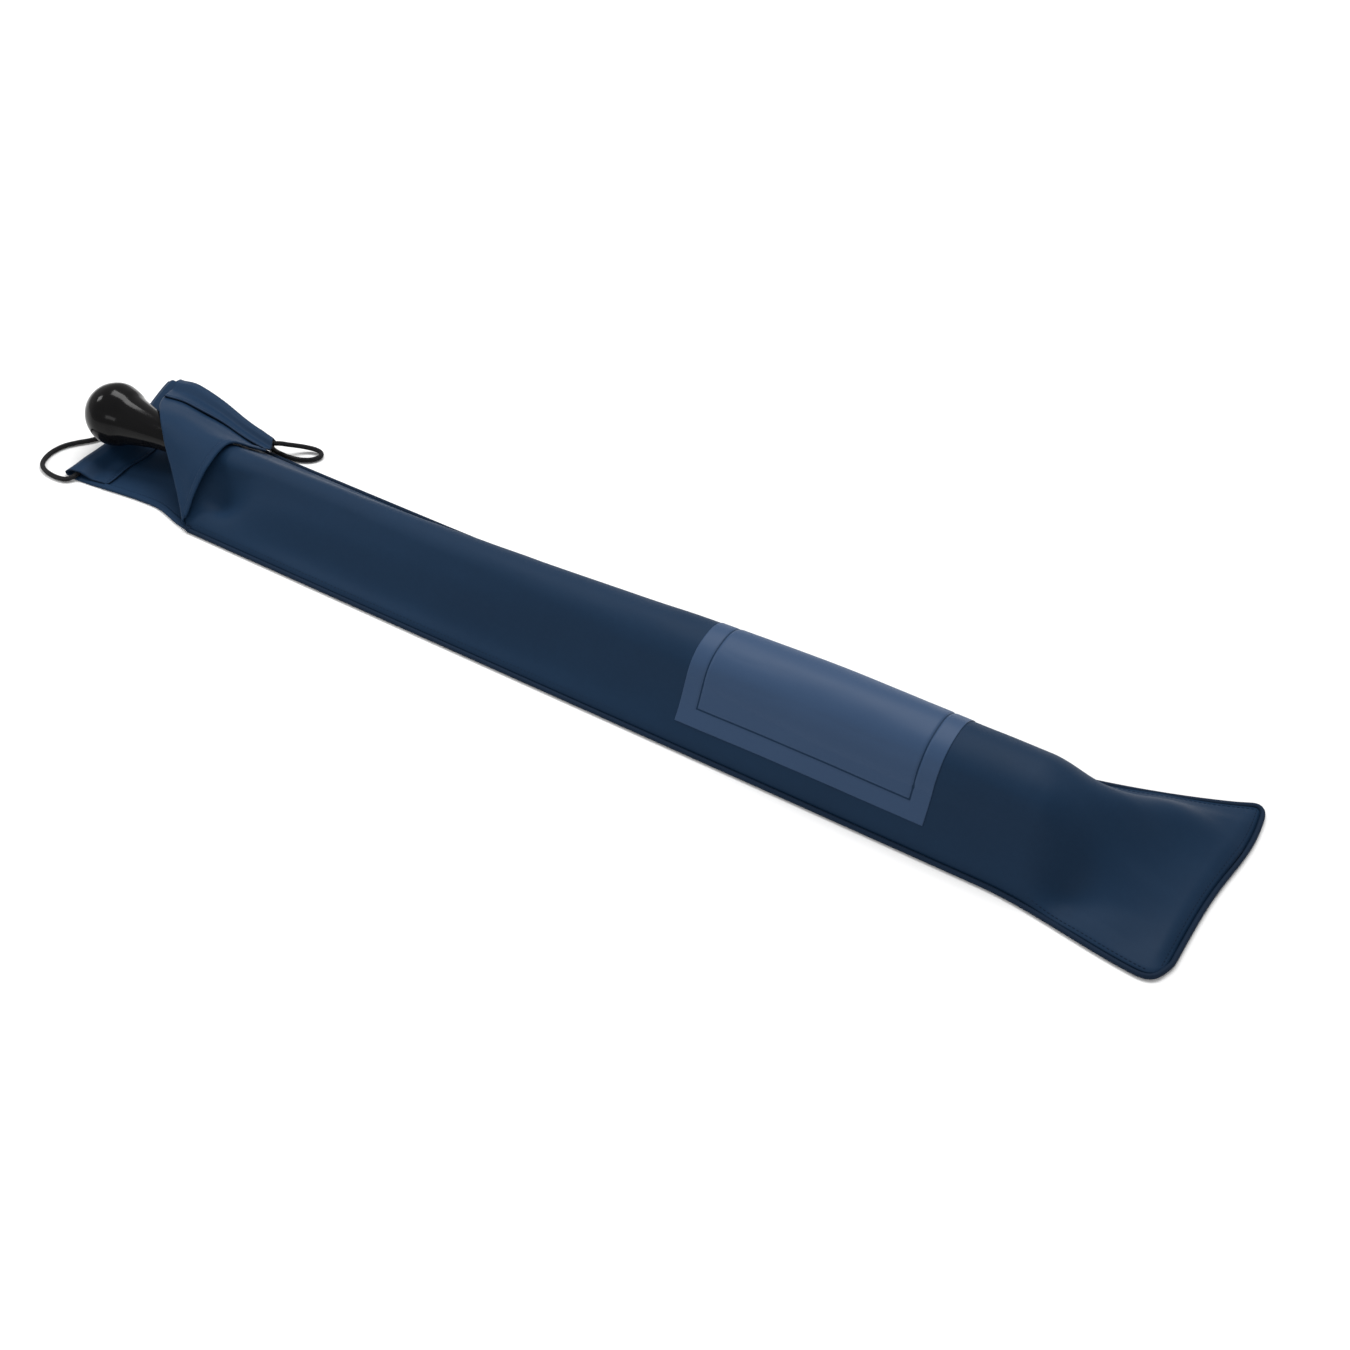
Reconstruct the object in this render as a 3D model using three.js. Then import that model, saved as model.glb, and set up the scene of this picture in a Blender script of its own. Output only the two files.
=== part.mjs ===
// A soft sleeve for a baseball bat, lying on its back with the bat in it.
// X runs from the mouth to the closed end, Y from the near seam to the far seam, Z is up.
// The ground is at Z = 0 and the bat's axis stands straight above Y = 0. Millimetres.
// Every place below is measured from the mouth; the whole group is shifted at the end.
import * as THREE from 'three';
import { mergeVertices } from 'three/addons/utils/BufferGeometryUtils.js';

// Driving dimensions
const sleeveLength = 963;
const slitLength = 130;
const clothThickness = 1.2;
const seamWidth = 3.4;
const seamHeight = 3.4;
const footHeight = 2.4;
const hemDepth = 39;
const cordDiameter = 4;
const clearance = 0.35;
const clothPlay = 0.6;
const batLength = 864;
const knobRadius = 26.5;
const gripRadius = 12;
const barrelRadius = 33;
const knobOverhang = 12.5;
const batTravel = 40;
const patchToBatEnd = 68.5;
const patchLength = 195;
const patchThickness = 0.6;
const nearHalfWidth = 54;
const farHalfWidth = 54;
const mouthFarSpread = 22;
const endNearSpread = 15;
const endFarSpread = 54;
const endSwell = 7.5;
const slitBow = 8;
const ridgeReach = 40;
const cornerLift = 15;
const originFromMouth = 480;

// Derived places
const batEnd = batLength - knobOverhang;
const patchStart = batEnd - patchToBatEnd - patchLength;

// The cord's channel, and how far the knob presses it down
const channelSeat = 0.7;
const channelRoom = cordDiameter + 1.6;
const knobPress = 1;
const pressedHem = 2 * clothThickness + channelSeat + channelRoom - knobPress;

// The bat lies on the back panel, and its knob on the hem
const barrelAxisHeight = Math.max(clothThickness + barrelRadius, pressedHem + knobRadius) + clearance;

// Materials
const fabric = new THREE.MeshStandardMaterial({ color: 0x1b3350, roughness: 0.82, metalness: 0 });
const lining = new THREE.MeshStandardMaterial({ color: 0x22405f, roughness: 0.85, metalness: 0 });
const thread = new THREE.MeshStandardMaterial({ color: 0x101d30, roughness: 0.9, metalness: 0 });
const print = new THREE.MeshStandardMaterial({ color: 0x2f4668, roughness: 0.55, metalness: 0 });
const cordBlack = new THREE.MeshStandardMaterial({ color: 0x0b0b0d, roughness: 0.8, metalness: 0 });
const lacquer = new THREE.MeshStandardMaterial({ color: 0x08080a, roughness: 0.12, metalness: 0 });

const object = new THREE.Group();

function addPiece(name, geometry, material) {
  const mesh = new THREE.Mesh(geometry, material);
  mesh.name = name;
  object.add(mesh);
  return mesh;
}

function easeBetween(start, end, value) {
  const share = Math.min(1, Math.max(0, (value - start) / (end - start)));
  return share * share * (3 - 2 * share);
}

function mix(a, b, share) {
  return a + (b - a) * share;
}

// --- The sleeve's plan: where its two side seams lie on the ground ---
function nearSeamY(x) {
  return -nearHalfWidth - endNearSpread * easeBetween(batEnd - 20, sleeveLength, x);
}

// Between the mouth and the slit's end the lower flap's free edge bows in a little.
function nearEdgeY(x) {
  const bow = slitBow * easeBetween(0, 90, x) * (1 - easeBetween(90, slitLength, x));
  return nearSeamY(x) + bow;
}

const barrelSpread = 10;
function farSeamY(x) {
  const mouth = mouthFarSpread * (1 - easeBetween(0, slitLength, x));
  const barrel = barrelSpread * easeBetween(300, 760, x);
  const pastBat = Math.min(1, Math.max(0, (x - batEnd + 13) / (sleeveLength - batEnd + 13)));
  const flare = (endFarSpread - barrelSpread) * pastBat ** 1.3;
  return farHalfWidth + mouth + barrel + flare;
}

// The closed end isn't cut quite square: it stands out toward its far corner.
function swollen(point) {
  const reach = endSwell * Math.exp(-(((point.y - 75) / 48) ** 2));
  point.x += reach * easeBetween(sleeveLength - 120, sleeveLength, point.x);
  return point;
}

// The far corner of the mouth is pulled off the ground by the folded flap.
function farSeamLift(x) {
  return cornerLift * (1 - easeBetween(0, slitLength, x));
}

function backHeight(x, y) {
  const share = easeBetween(0.35 * farSeamY(x), farSeamY(x), y);
  return farSeamLift(x) * share;
}

// --- The bat's outline, as radius at a distance from the knob's end ---
const gripEnd = 260;
const endRound = 22;
function taperPoint(share, fullness) {
  const along = mix(gripEnd, batLength - endRound, share);
  return new THREE.Vector2(along, mix(gripRadius, barrelRadius, fullness));
}
const batOutline = new THREE.SplineCurve([
  new THREE.Vector2(0, knobRadius - 21.5),
  new THREE.Vector2(1.5, knobRadius - 16.9),
  new THREE.Vector2(5.5, knobRadius - 10.1),
  new THREE.Vector2(12, knobRadius - 4.2),
  new THREE.Vector2(19.5, knobRadius - 0.8),
  new THREE.Vector2(26.5, knobRadius),
  new THREE.Vector2(35.5, knobRadius - 2.2),
  new THREE.Vector2(43, gripRadius + 9),
  new THREE.Vector2(52, gripRadius + 6.6),
  new THREE.Vector2(64, gripRadius + 4),
  new THREE.Vector2(76, gripRadius + 2),
  new THREE.Vector2(90, gripRadius + 0.8),
  new THREE.Vector2(110, gripRadius),
  new THREE.Vector2(180, gripRadius),
  taperPoint(0, 0.02),
  taperPoint(0.137, 0.114),
  taperPoint(0.275, 0.267),
  taperPoint(0.412, 0.457),
  taperPoint(0.55, 0.667),
  taperPoint(0.67, 0.829),
  taperPoint(0.79, 0.952),
  taperPoint(0.894, 1),
  taperPoint(1, 1),
  new THREE.Vector2(batLength - 9, barrelRadius - 2.8),
  new THREE.Vector2(batLength - 2, barrelRadius - 11),
  new THREE.Vector2(batLength, barrelRadius - 21),
]);
const outlineSamples = batOutline.getPoints(150);

function outlineRadius(fromKnob) {
  let index = 1;
  while (outlineSamples[index].x < fromKnob && index < outlineSamples.length - 1) {
    index += 1;
  }
  const a = outlineSamples[index - 1];
  const b = outlineSamples[index];
  return mix(a.y, b.y, (fromKnob - a.x) / (b.x - a.x));
}

// The grip is the bat's waist, so a place sees it widest either at rest or fully drawn.
const flareStop = 71;
function bodyRadius(x) {
  const atRest = Math.min(Math.max(x + knobOverhang, flareStop), batLength - 30);
  const drawn = Math.min(Math.max(x + knobOverhang + batTravel, flareStop), batLength - 30);
  return Math.max(outlineRadius(atRest), outlineRadius(drawn));
}

// --- Height of the upper cloth: a tent from both feet over the bat ---
function slopeHeight(distance, footDistance, radius, foot) {
  const rise = barrelAxisHeight - foot;
  const reach = Math.hypot(footDistance, rise);
  const lean = Math.atan2(rise, footDistance);
  const touch = Math.asin(radius / reach);
  const slope = lean + touch;
  const touchDistance = radius * Math.sin(slope);
  if (distance <= touchDistance) {
    return barrelAxisHeight + Math.sqrt(Math.max(0, radius * radius - distance * distance));
  }
  return foot + (footDistance - distance) * Math.tan(slope);
}

// Past the bat's end the crest swings toward the far corner as it falls.
function tentHeight(x, y, extra) {
  const radius = bodyRadius(x) + clothPlay + extra;
  const crest = ridgeReach * easeBetween(batEnd, sleeveLength, x);
  const onFar = y >= crest;
  const edge = onFar ? farSeamY(x) : -nearSeamY(x);
  const toCrest = onFar ? (y - crest) / (edge - crest) : (crest - y) / (edge + crest);
  const lift = onFar ? farSeamLift(x) : 0;
  const foot = footHeight + lift + extra;
  const taut = slopeHeight(toCrest * edge, edge, radius, foot);
  const top = slopeHeight(0, edge, radius, foot);
  const soft = foot + (top - foot) * (0.5 + 0.5 * Math.cos(Math.PI * Math.min(1, toCrest)));
  const full = mix(taut, soft, easeBetween(batEnd, batEnd + 45, x));
  const even = Math.min(1, Math.max(0, (x - batEnd - 6) / (sleeveLength - 4 - batEnd - 6)));
  const fall = mix(easeBetween(0, 1, even), even, 0.4);
  return mix(full, foot, fall);
}

// --- A sheet of cloth as a closed solid: two layers of points and a rim ---
function sheetSolid(pointAt, stepsU, stepsV, thickness) {
  const positions = [];
  const triangles = [];
  const rowLength = stepsV + 1;
  const layerSize = (stepsU + 1) * rowLength;
  for (const side of [0, 1]) {
    for (let i = 0; i <= stepsU; i += 1) {
      for (let j = 0; j <= stepsV; j += 1) {
        const point = pointAt(i / stepsU, j / stepsV);
        const lifted = thickness * side;
        positions.push(point.x, point.y, point.z + lifted);
      }
    }
  }
  const cell = (i, j, side) => side * layerSize + i * rowLength + j;
  const quad = (a, b, c, d) => triangles.push(a, b, c, a, c, d);
  for (let i = 0; i < stepsU; i += 1) {
    for (let j = 0; j < stepsV; j += 1) {
      quad(cell(i, j, 1), cell(i + 1, j, 1), cell(i + 1, j + 1, 1), cell(i, j + 1, 1));
      quad(cell(i, j, 0), cell(i, j + 1, 0), cell(i + 1, j + 1, 0), cell(i + 1, j, 0));
    }
  }
  for (let i = 0; i < stepsU; i += 1) {
    quad(cell(i, 0, 0), cell(i + 1, 0, 0), cell(i + 1, 0, 1), cell(i, 0, 1));
    quad(cell(i, stepsV, 1), cell(i + 1, stepsV, 1), cell(i + 1, stepsV, 0), cell(i, stepsV, 0));
  }
  for (let j = 0; j < stepsV; j += 1) {
    quad(cell(0, j, 1), cell(0, j + 1, 1), cell(0, j + 1, 0), cell(0, j, 0));
    quad(cell(stepsU, j, 0), cell(stepsU, j + 1, 0), cell(stepsU, j + 1, 1), cell(stepsU, j, 1));
  }
  const geometry = new THREE.BufferGeometry();
  geometry.setAttribute('position', new THREE.Float32BufferAttribute(positions, 3));
  geometry.setIndex(triangles);
  return mergeVertices(geometry, 1e-4);
}

function strandSolid(points, diameter, steps, sides = 8) {
  const route = new THREE.CatmullRomCurve3(points, false, 'centripetal');
  const outline = new THREE.Shape();
  for (let side = 0; side < sides; side += 1) {
    const angle = (side / sides) * 2 * Math.PI;
    const across = (diameter / 2) * Math.cos(angle);
    const up = (diameter / 2) * Math.sin(angle);
    if (side === 0) {
      outline.moveTo(across, up);
    } else {
      outline.lineTo(across, up);
    }
  }
  outline.closePath();
  return new THREE.ExtrudeGeometry(outline, { steps, extrudePath: route, bevelEnabled: false });
}

// --- The folded front flap: crease, hem and slit edge as curves in space ---
const cornerX = 15;
const crestX = slitLength - 66;
const creaseTop = barrelAxisHeight + bodyRadius(crestX) + clothPlay + clothThickness + 0.7;
const slitEnd = new THREE.Vector3(slitLength, -nearHalfWidth + 1, footHeight + 2.4);
const farCorner = new THREE.Vector3(cornerX, farSeamY(cornerX), footHeight + cornerLift + 1.5);
const foldedCorner = new THREE.Vector3(slitLength - 3, 62, 8);
const crease = new THREE.CatmullRomCurve3([
  slitEnd,
  new THREE.Vector3(slitLength - 12, -42, 15),
  new THREE.Vector3(slitLength - 29, -28, 30),
  new THREE.Vector3(slitLength - 48, -13, creaseTop - 6),
  new THREE.Vector3(crestX, 3, creaseTop),
  new THREE.Vector3(slitLength - 86, 24, creaseTop - 6.5),
  new THREE.Vector3(slitLength - 104, 50, creaseTop - 20),
  farCorner,
]);
const slitEdge = new THREE.CatmullRomCurve3([
  slitEnd,
  new THREE.Vector3(slitLength - 1, -36, 23),
  new THREE.Vector3(slitLength, -18, 39),
  new THREE.Vector3(slitLength + 4, 4, creaseTop - 2.2),
  new THREE.Vector3(slitLength + 8, 26, 31),
  new THREE.Vector3(slitLength + 6, 47, 14),
  foldedCorner,
]);
const hemEdge = new THREE.CatmullRomCurve3([
  farCorner,
  new THREE.Vector3(mix(cornerX, foldedCorner.x, 0.205), 72, 25),
  new THREE.Vector3(mix(cornerX, foldedCorner.x, 0.455), 68, 22.5),
  new THREE.Vector3(mix(cornerX, foldedCorner.x, 0.723), 64, 15.5),
  foldedCorner,
]);

// A point of the flap: along runs from the slit's end to the hem, across from crease to slit edge.
function flapPoint(along, across) {
  const onCrease = crease.getPoint(along);
  const onEdge = slitEdge.getPoint(along);
  const point = onCrease.clone().lerp(onEdge, across);
  const straight = farCorner.clone().lerp(foldedCorner, across);
  const pull = hemEdge.getPoint(across).sub(straight).multiplyScalar(along * along);
  return point.add(pull);
}

// The flap never sinks into the sleeve's top: it rests this far above it.
const flapStandOff = clothThickness + clearance + 0.5;
const nearRelief = 2.6;

function flapSurface(along, across) {
  const point = flapPoint(along, across);
  const relief = nearRelief * (1 - easeBetween(-30, 6, point.y));
  const lowest = tentHeight(point.x, point.y, 0) + flapStandOff + relief;
  if (point.y < farSeamY(point.x) - 2) {
    point.z = Math.max(point.z, lowest);
  }
  return point;
}

// --- Back panel, lying on the ground and running out past the slit as the lower flap ---
const stationCount = 48;
const station = sleeveLength / stationCount;
function backPoint(along, across) {
  const x = mix(0, sleeveLength, along);
  const y = mix(nearEdgeY(x), farSeamY(x), across);
  return swollen(new THREE.Vector3(x, y, backHeight(x, y)));
}
addPiece('back_panel', sheetSolid(backPoint, stationCount, 10, clothThickness), fabric);

// --- Front panel, from the flap's crease to the closed end ---
const creaseTuck = 2;
const panelInset = 1.3;
function frontPoint(along, across) {
  const start = crease.getPoint(across);
  const share = (start.y - nearSeamY(start.x)) / (farSeamY(start.x) - nearSeamY(start.x));
  const x = mix(start.x + creaseTuck, sleeveLength, along);
  const y = mix(nearSeamY(x) + panelInset, farSeamY(x) - panelInset, share);
  return swollen(new THREE.Vector3(x, y, tentHeight(x, y, 0)));
}
addPiece('front_panel', sheetSolid(frontPoint, 46, 18, clothThickness), fabric);

// --- Seams: the sewn edges where both panels' allowances are turned together ---
function sideSeamPoint(seamY, side, firstX, steps) {
  return (along, across) => {
    const x = Math.max(firstX, sleeveLength - station * Math.round((1 - along) * steps));
    const inner = seamY(x) + side * clearance;
    const outer = inner + side * seamWidth;
    const y = side > 0 ? mix(inner, outer, across) : mix(outer, inner, across);
    const lift = side > 0 ? farSeamLift(x) : 0;
    return swollen(new THREE.Vector3(x, y, lift));
  };
}
const tackLength = 7;
function sideSeam(seamY, side, firstX) {
  const steps = Math.ceil((sleeveLength - firstX) / station);
  return sheetSolid(sideSeamPoint(seamY, side, firstX, steps), steps, 1, seamHeight);
}
const nearSeamStart = slitLength + tackLength + clearance;
addPiece('near_side_seam', sideSeam(nearSeamY, -1, nearSeamStart), thread);
addPiece('far_side_seam', sideSeam(farSeamY, 1, 0), thread);

const endSeamHeight = 4;
function endSeamPoint(along, across) {
  const x = mix(sleeveLength + clearance, sleeveLength + clearance + seamWidth, along);
  const margin = seamWidth + clearance;
  const y = mix(nearSeamY(sleeveLength) - margin, farSeamY(sleeveLength) + margin, across);
  return swollen(new THREE.Vector3(x, y, 0));
}
addPiece('closed_end_seam', sheetSolid(endSeamPoint, 1, 12, endSeamHeight), thread);

// A dense block of stitches stops the slit from tearing further.
function tackPoint(along, across) {
  const x = mix(slitLength, slitLength + tackLength, along);
  const outer = nearSeamY(x) - clearance - seamWidth;
  return new THREE.Vector3(x, mix(outer, outer + seamWidth, across), 0);
}
addPiece('slit_bar_tack', sheetSolid(tackPoint, 1, 1, seamHeight + 0.6), thread);

// --- Folded front flap. The corner next to the slit's end stays with the sleeve. ---
const cornerEnd = 0.36;
const cornerStart = 0.07;
const seamGap = 0.004;
function flapPart(fromAlong, toAlong, lift) {
  return (across, along) => {
    const point = flapSurface(mix(fromAlong, toAlong, along), across);
    point.z += lift;
    return point;
  };
}
addPiece('slit_corner_fold', sheetSolid(flapPart(cornerStart, cornerEnd - seamGap, 0), 8, 6, clothThickness), lining);
addPiece('front_flap', sheetSolid(flapPart(cornerEnd, 1, 0), 10, 16, clothThickness), lining);

// --- Hems: each flap's mouth edge is turned in and sewn down as a channel for the cord ---
const cordInset = 9;
function channelLift(fromEdge) {
  const rise = easeBetween(-4, cordInset - 3, fromEdge);
  const fall = 1 - easeBetween(cordInset + 3, cordInset + 14, fromEdge);
  return clothThickness + channelSeat + channelRoom * rise * fall;
}

const hemEndInset = 0.6;
const hemLineInset = 4;
const hemFarStop = 12;
function backHemPoint(along, across) {
  const fromEdge = mix(0, hemDepth, along);
  const near = nearEdgeY(fromEdge) + mix(hemEndInset, hemLineInset, along);
  const far = farSeamY(fromEdge) - hemFarStop;
  const y = mix(near, far, across);
  const pressed = knobPress * Math.exp(-((y / 26) ** 2)) * Math.min(1, channelLift(fromEdge) / 4);
  return new THREE.Vector3(fromEdge, y, backHeight(fromEdge, y) + channelLift(fromEdge) - pressed);
}
addPiece('back_hem', sheetSolid(backHemPoint, 10, 12, clothThickness), lining);

// Distance from the folded flap's mouth edge, as a share of the way to the slit's end.
const creaseLength = crease.getLength();
const slitEdgeLength = slitEdge.getLength();
function hemShare(across, fromEdge) {
  return 1 - fromEdge / mix(creaseLength, slitEdgeLength, across);
}

function frontHemPoint(across, along) {
  const inset = mix(0.03, 0.995, across);
  const fromEdge = mix(hemDepth, 0, along);
  const point = flapSurface(hemShare(inset, fromEdge), inset);
  point.z += channelLift(fromEdge);
  return point;
}
addPiece('front_hem', sheetSolid(frontHemPoint, 12, 10, clothThickness), lining);

// --- Slit edges: both flaps' free sides are turned over once and sewn ---
const turnedEdge = 6;
const flapBreadth = 60;
function frontSlitHemPoint(across, along) {
  const share = mix(1 - turnedEdge / flapBreadth, 0.995, across);
  const toAlong = hemShare(share, hemDepth + 1);
  const point = flapSurface(mix(cornerEnd + seamGap, toAlong, along), share);
  point.z += clothThickness + channelSeat;
  return point;
}
addPiece('front_slit_hem', sheetSolid(frontSlitHemPoint, 2, 14, clothThickness), lining);

function backSlitHemPoint(along, across) {
  const x = mix(hemDepth + 1, slitLength - 2, along);
  const y = nearEdgeY(x) + mix(hemEndInset, turnedEdge, across);
  return new THREE.Vector3(x, y, clothThickness + clearance);
}
addPiece('back_slit_hem', sheetSolid(backSlitHemPoint, 6, 1, clothThickness), lining);

// --- The drawcord: one ring through both channels, its slack hanging out at the near side ---
const cordRadius = cordDiameter / 2;
const channelFloor = clothThickness + channelSeat + cordRadius;

function backRunPoint(y) {
  return new THREE.Vector3(cordInset, y, backHeight(cordInset, y) + channelFloor);
}
const backRun = [];
for (let step = 0; step <= 8; step += 1) {
  backRun.push(backRunPoint(mix(-nearHalfWidth + 3, farSeamY(cordInset) - hemFarStop - 2, step / 8)));
}
addPiece('drawcord_back_run', strandSolid(backRun, cordDiameter, 14), cordBlack);

const frontRun = [];
for (let step = 0; step <= 8; step += 1) {
  const across = mix(0.1, 0.96, step / 8);
  const point = flapSurface(hemShare(across, cordInset), across);
  point.z += channelFloor;
  frontRun.push(point);
}
addPiece('drawcord_front_run', strandSolid(frontRun, cordDiameter, 14), cordBlack);

const slackRoute = [
  [9, -51.4, 3.7],
  [8.4, -56, 3.4],
  [4, -60.5, 2.6],
  [-6, -62, 2.2],
  [-18, -60.5, 2.2],
  [-27, -55.5, 2.2],
  [-31.5, -47, 2.2],
  [-32.5, -37, 2.2],
  [-30, -27, 2.2],
  [-24, -18, 2.2],
  [-16.5, -9, 2.2],
  [-10.5, 2, 2.2],
  [-7, 16, 2.2],
  [-5.5, 32, 2.2],
  [-4, 48, 2.2],
  [-1.5, 62, 2.2],
  [5, 73, 2.2],
  [17, 79.5, 2.2],
  [33, 81, 2.2],
  [52, 79.5, 2.2],
  [72, 78, 2.2],
  [92, 76.5, 2.2],
  [104, 74, 2.2],
  [111.6, 71, 2.2],
];
const loopRoute = [
  [113.1, 69.7, 2.2],
  [118, 65.2, 2.2],
  [125, 61.8, 2.2],
  [134, 61, 2.2],
  [142, 61.2, 2.3],
  [150, 62.8, 2.3],
  [157.5, 66.5, 2.4],
  [162, 71.5, 2.5],
  [163, 76.5, 2.8],
  [159.5, 79.5, 3.2],
  [153, 79.3, 3.8],
  [145.5, 76, 5.2],
  [140.5, 71.5, 7.4],
  [136.5, 66.8, 9.8],
  [133, 62.8, 12],
  [130.4, 59.8, 13.4],
];
function routePoints(route) {
  return route.map(([x, y, z]) => new THREE.Vector3(x, y, z));
}
addPiece('drawcord_slack', strandSolid(routePoints(slackRoute), cordDiameter, 56), cordBlack);
addPiece('drawcord_loop', strandSolid(routePoints(loopRoute), cordDiameter, 22), cordBlack);

// --- Printed panel over the sleeve's crest ---
const patchHalfSpan = 44;
function patchPoint(along, across) {
  const x = mix(patchStart, patchStart + patchLength, along);
  const y = mix(-patchHalfSpan, patchHalfSpan, across);
  return new THREE.Vector3(x, y, tentHeight(x, y, clothThickness + clearance));
}
addPiece('print_panel', sheetSolid(patchPoint, 12, 16, patchThickness), print);

// --- The bat ---
const turned = [new THREE.Vector2(0, 0), ...batOutline.getPoints(44).map((p) => new THREE.Vector2(p.y, p.x))];
turned.push(new THREE.Vector2(0, batLength));
const bat = addPiece('bat', new THREE.LatheGeometry(turned, 28), lacquer);
bat.rotation.z = -Math.PI / 2;
bat.position.set(-knobOverhang, 0, barrelAxisHeight);

// The frame's origin is on the ground under the bat's axis, near the middle of the sleeve.
object.position.x = -originFromMouth;

export default object;
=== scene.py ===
import math
import bpy
import numpy as np
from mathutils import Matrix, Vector, noise


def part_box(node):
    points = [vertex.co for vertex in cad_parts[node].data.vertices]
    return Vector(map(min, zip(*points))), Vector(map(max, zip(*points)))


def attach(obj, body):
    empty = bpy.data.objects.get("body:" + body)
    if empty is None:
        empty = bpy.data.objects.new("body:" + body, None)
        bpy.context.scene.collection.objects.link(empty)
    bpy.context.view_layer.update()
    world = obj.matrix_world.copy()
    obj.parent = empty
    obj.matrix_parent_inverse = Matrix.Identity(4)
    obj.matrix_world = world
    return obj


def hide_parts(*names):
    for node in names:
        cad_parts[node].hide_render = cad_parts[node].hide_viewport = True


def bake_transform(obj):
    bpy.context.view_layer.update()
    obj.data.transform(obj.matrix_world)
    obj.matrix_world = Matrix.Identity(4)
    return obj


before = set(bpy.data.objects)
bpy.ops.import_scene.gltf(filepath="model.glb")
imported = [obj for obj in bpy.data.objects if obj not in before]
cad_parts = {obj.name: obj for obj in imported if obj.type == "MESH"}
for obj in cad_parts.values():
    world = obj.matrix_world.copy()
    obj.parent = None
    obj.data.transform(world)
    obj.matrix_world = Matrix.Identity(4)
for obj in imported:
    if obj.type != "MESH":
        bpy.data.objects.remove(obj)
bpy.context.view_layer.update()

# Everything lies along x from the mouth to the closed end; the frame's zero is near the middle.
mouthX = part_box("back_panel")[0][0]
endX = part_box("near_side_seam")[1][0]
sleeveLength = endX - mouthX
up = Vector((0, 0, 1))


def place(x, y, z):
    return Vector((x + mouthX, y, z))


# camera, at the height and turn of someone standing at the closed end's near side
view = {"place": (0.6147, -0.8546, 0.9633), "tilt": 46.6, "turn": 32.01, "lens": 50.67}
cameraData = bpy.data.cameras.new("camera")
cameraData.lens = view["lens"]
cameraData.sensor_width = 36
cameraData.clip_start = 0.02
camera = bpy.data.objects.new("camera", cameraData)
camera.location = view["place"]
camera.rotation_euler = (math.radians(view["tilt"]), 0, math.radians(view["turn"]))
bpy.context.scene.collection.objects.link(camera)
bpy.context.scene.camera = camera
print("camera placed")


# small helpers for numbers and curves
def blendTo(a, b, share):
    return a + (b - a) * share


def ease(start, end, value):
    share = min(1.0, max(0.0, (value - start) / (end - start)))
    return share * share * (3 - 2 * share)


def softMax(a, b, width):
    gap = max(width - abs(a - b), 0.0) / width
    return max(a, b) + gap * gap * width / 4


def curvePoint(points, share):
    # a smooth curve through the points, share from 0 to 1
    last = len(points) - 1
    spot = min(max(share, 0.0), 1.0) * last
    index = min(int(spot), last - 1)
    t = spot - index
    p1, p2 = points[index], points[index + 1]
    p0 = points[index - 1] if index > 0 else p1 * 2 - p2
    p3 = points[index + 2] if index + 2 <= last else p2 * 2 - p1
    a = p1 * 2
    b = p2 - p0
    c = p0 * 2 - p1 * 5 + p2 * 4 - p3
    d = p1 * 3 - p0 - p2 * 3 + p3
    return (a + b * t + c * t * t + d * t * t * t) * 0.5


def curveLine(points, count):
    return [curvePoint(points, i / (count - 1)) for i in range(count)]


def lineLength(points):
    return sum((b - a).length for a, b in zip(points, points[1:]))


def addMesh(name, vertices, faces, uvs=None):
    mesh = bpy.data.meshes.new(name)
    mesh.from_pydata([tuple(v) for v in vertices], [], faces)
    mesh.validate()
    mesh.polygons.foreach_set("use_smooth", [True] * len(mesh.polygons))
    if uvs is not None:
        layer = mesh.uv_layers.new(name="cloth")
        for loop in mesh.loops:
            layer.data[loop.index].uv = uvs[loop.vertex_index]
    piece = bpy.data.objects.new(name, mesh)
    bpy.context.scene.collection.objects.link(piece)
    return piece


def gridPiece(name, pointAt, columns, rows, size):
    # a sheet of points; size is its flat width and length, for the weave
    vertices = []
    uvs = []
    for i in range(columns + 1):
        for j in range(rows + 1):
            u, v = i / columns, j / rows
            vertices.append(pointAt(u, v))
            uvs.append((u * size[0], v * size[1]))
    line = rows + 1
    faces = []
    for i in range(columns):
        for j in range(rows):
            a = i * line + j
            faces.append((a, a + line, a + line + 1, a + 1))
    return addMesh(name, vertices, faces, uvs)


def thicken(piece, thickness, offset=0.0, rimSlot=0):
    solid = piece.modifiers.new("thickness", "SOLIDIFY")
    solid.material_offset_rim = rimSlot
    solid.thickness = thickness
    solid.offset = offset
    solid.use_even_offset = False
    solid.use_rim = True
    return solid


def settle(piece):
    # turns the live modifiers into plain mesh
    while len(piece.data.materials) < 2:
        piece.data.materials.append(None)
    graph = bpy.context.evaluated_depsgraph_get()
    fresh = bpy.data.meshes.new_from_object(piece.evaluated_get(graph))
    piece.modifiers.clear()
    old = piece.data
    piece.data = fresh
    bpy.data.meshes.remove(old)
    piece.data.name = piece.name
    return piece


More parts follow.
